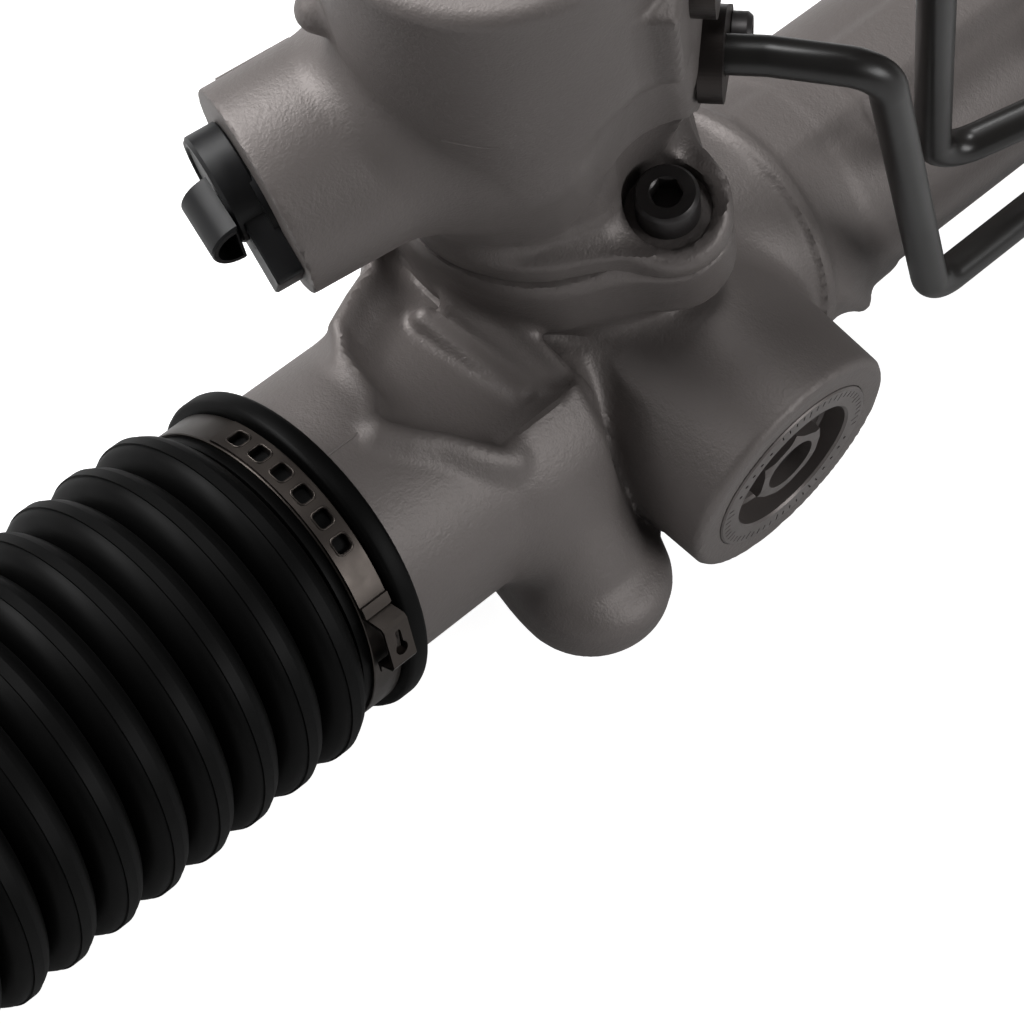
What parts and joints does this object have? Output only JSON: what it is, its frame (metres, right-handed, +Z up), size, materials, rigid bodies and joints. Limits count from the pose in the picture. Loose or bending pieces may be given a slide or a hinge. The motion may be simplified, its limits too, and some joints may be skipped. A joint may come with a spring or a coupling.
{
  "type": "steering gear",
  "caption": "Hydraulic rack and pinion steering gear with leaning valve tower, solenoid valve, yoke plug, steel lines, rubber boots and inner tie rods.",
  "frame": {"origin": "on the rack axis where the yoke and pinion axes cross it", "axes": "+X along the rack towards the cylinder end, +Z up, the yoke plug faces -Y"},
  "size_m": [1.1705, 0.1263, 0.2507],
  "materials": {
    "cast_alloy": "satin, fine sand-cast grain",
    "black_oxide": "black oxide, satin",
    "nitrile_rubber": "matte",
    "zinc_plug": "turned, satin",
    "ground_steel": "ground",
    "bearing_steel": "polished",
    "spring_steel": "oiled",
    "sliding_plastic": "matte",
    "steel_bush": "turned",
    "cast_yoke": "cast and turned",
    "connector_plastic": "moulded, satin",
    "dust_cap_rubber": "matte",
    "coated_line": "satin black coating",
    "plated_plate": "dark zinc",
    "forged_steel": "forged and turned",
    "plated_nut": "zinc plated",
    "boot_rubber": "matte, moulded",
    "stainless_band": "brushed stainless"
  },
  "bodies": {
    "housing": {"rack_housing": "cast_alloy", "valve_housing": "cast_alloy", "housing_screws": "black_oxide", "joint_oring": "nitrile_rubber", "rack_yoke": "cast_yoke", "yoke_liner": "sliding_plastic", "yoke_spring": "spring_steel", "yoke_oring": "nitrile_rubber", "yoke_plug": "zinc_plug", "yoke_set_screw": "black_oxide", "lower_bearing": "bearing_steel", "pinion_end_cap": "zinc_plug", "bearing_outer_ring": "bearing_steel", "bearing_balls": "bearing_steel", "pinion_seal": "nitrile_rubber", "input_bearing": "bearing_steel", "input_seal": "nitrile_rubber", "seal_retainer": "spring_steel", "dust_cap": "dust_cap_rubber", "solenoid_body": "connector_plastic", "solenoid_connector": "connector_plastic", "solenoid_oring": "nitrile_rubber", "plunger_spring": "spring_steel", "line_clamp_upper": "plated_plate", "line_clamp_lower": "plated_plate", "clamp_screws": "black_oxide", "line_inner": "coated_line", "line_outer": "coated_line", "line_nuts": "plated_plate", "inner_bush": "sliding_plastic", "inner_rack_seal": "nitrile_rubber", "outer_bush": "steel_bush", "outer_rack_seal": "nitrile_rubber", "bush_retainer": "spring_steel", "boot_left": "boot_rubber", "boot_right": "boot_rubber", "boot_clamp_left": "stainless_band", "boot_clamp_right": "stainless_band"},
    "rack": {"rack_bar": "ground_steel", "piston": "ground_steel", "piston_ring": "sliding_plastic", "ball_socket_left": "forged_steel", "ball_socket_right": "forged_steel"},
    "pinion": {"pinion_shaft": "ground_steel", "valve_sleeve": "ground_steel", "sleeve_rings": "sliding_plastic", "bearing_inner_ring": "bearing_steel", "lower_pin": "bearing_steel", "torsion_bar": "spring_steel"},
    "input": {"input_shaft": "ground_steel", "upper_pin": "bearing_steel"},
    "seat_left": {"ball_seat_left": "sliding_plastic"},
    "seat_right": {"ball_seat_right": "sliding_plastic"},
    "tie_left": {"tie_rod_left": "forged_steel", "jam_nut_left": "plated_nut", "rod_clip_left": "stainless_band"},
    "tie_right": {"tie_rod_right": "forged_steel", "jam_nut_right": "plated_nut", "rod_clip_right": "stainless_band"},
    "plunger": {"solenoid_plunger": "ground_steel"}
  },
  "joints": [
    {"name": "rack_slide", "type": "slide", "parent": "housing", "child": "rack", "axis": [1, 0, 0], "range_m": [-0.072, 0.072], "deforming": ["boot_left", "boot_right"]},
    {"name": "pinion_turn", "type": "hinge", "parent": "housing", "child": "pinion", "pos_m": [0, 0.01741, 0], "axis": [-0.2924, 0, 0.9563], "range_deg": [-449, 449]},
    {"name": "valve_twist", "type": "hinge", "parent": "pinion", "child": "input", "pos_m": [0, 0.01741, 0], "axis": [-0.2924, 0, 0.9563], "range_deg": [-4, 4], "stiffness_Nm_per_rad": 1.5},
    {"name": "ball_left_lift", "type": "hinge", "parent": "rack", "child": "seat_left", "pos_m": [-0.1815, 0, 0], "axis": [0, 1, 0], "range_deg": [-22, 22]},
    {"name": "ball_left_sweep", "type": "hinge", "parent": "seat_left", "child": "tie_left", "pos_m": [-0.1815, 0, 0], "axis": [0, 0, 1], "range_deg": [-22, 22]},
    {"name": "ball_right_lift", "type": "hinge", "parent": "rack", "child": "seat_right", "pos_m": [0.409, 0, 0], "axis": [0, 1, 0], "range_deg": [-22, 22]},
    {"name": "ball_right_sweep", "type": "hinge", "parent": "seat_right", "child": "tie_right", "pos_m": [0.409, 0, 0], "axis": [0, 0, 1], "range_deg": [-22, 22]},
    {"name": "plunger_slide", "type": "slide", "parent": "housing", "child": "plunger", "axis": [-0.9279, 0.2419, -0.2837], "range_m": [0, 0.0012], "stiffness_N_per_m": 150, "deforming": ["plunger_spring"]}
  ],
  "couplings": [
    {"joint": "pinion_turn", "follows": "rack_slide", "rad_per_m": 108.67}
  ]
}
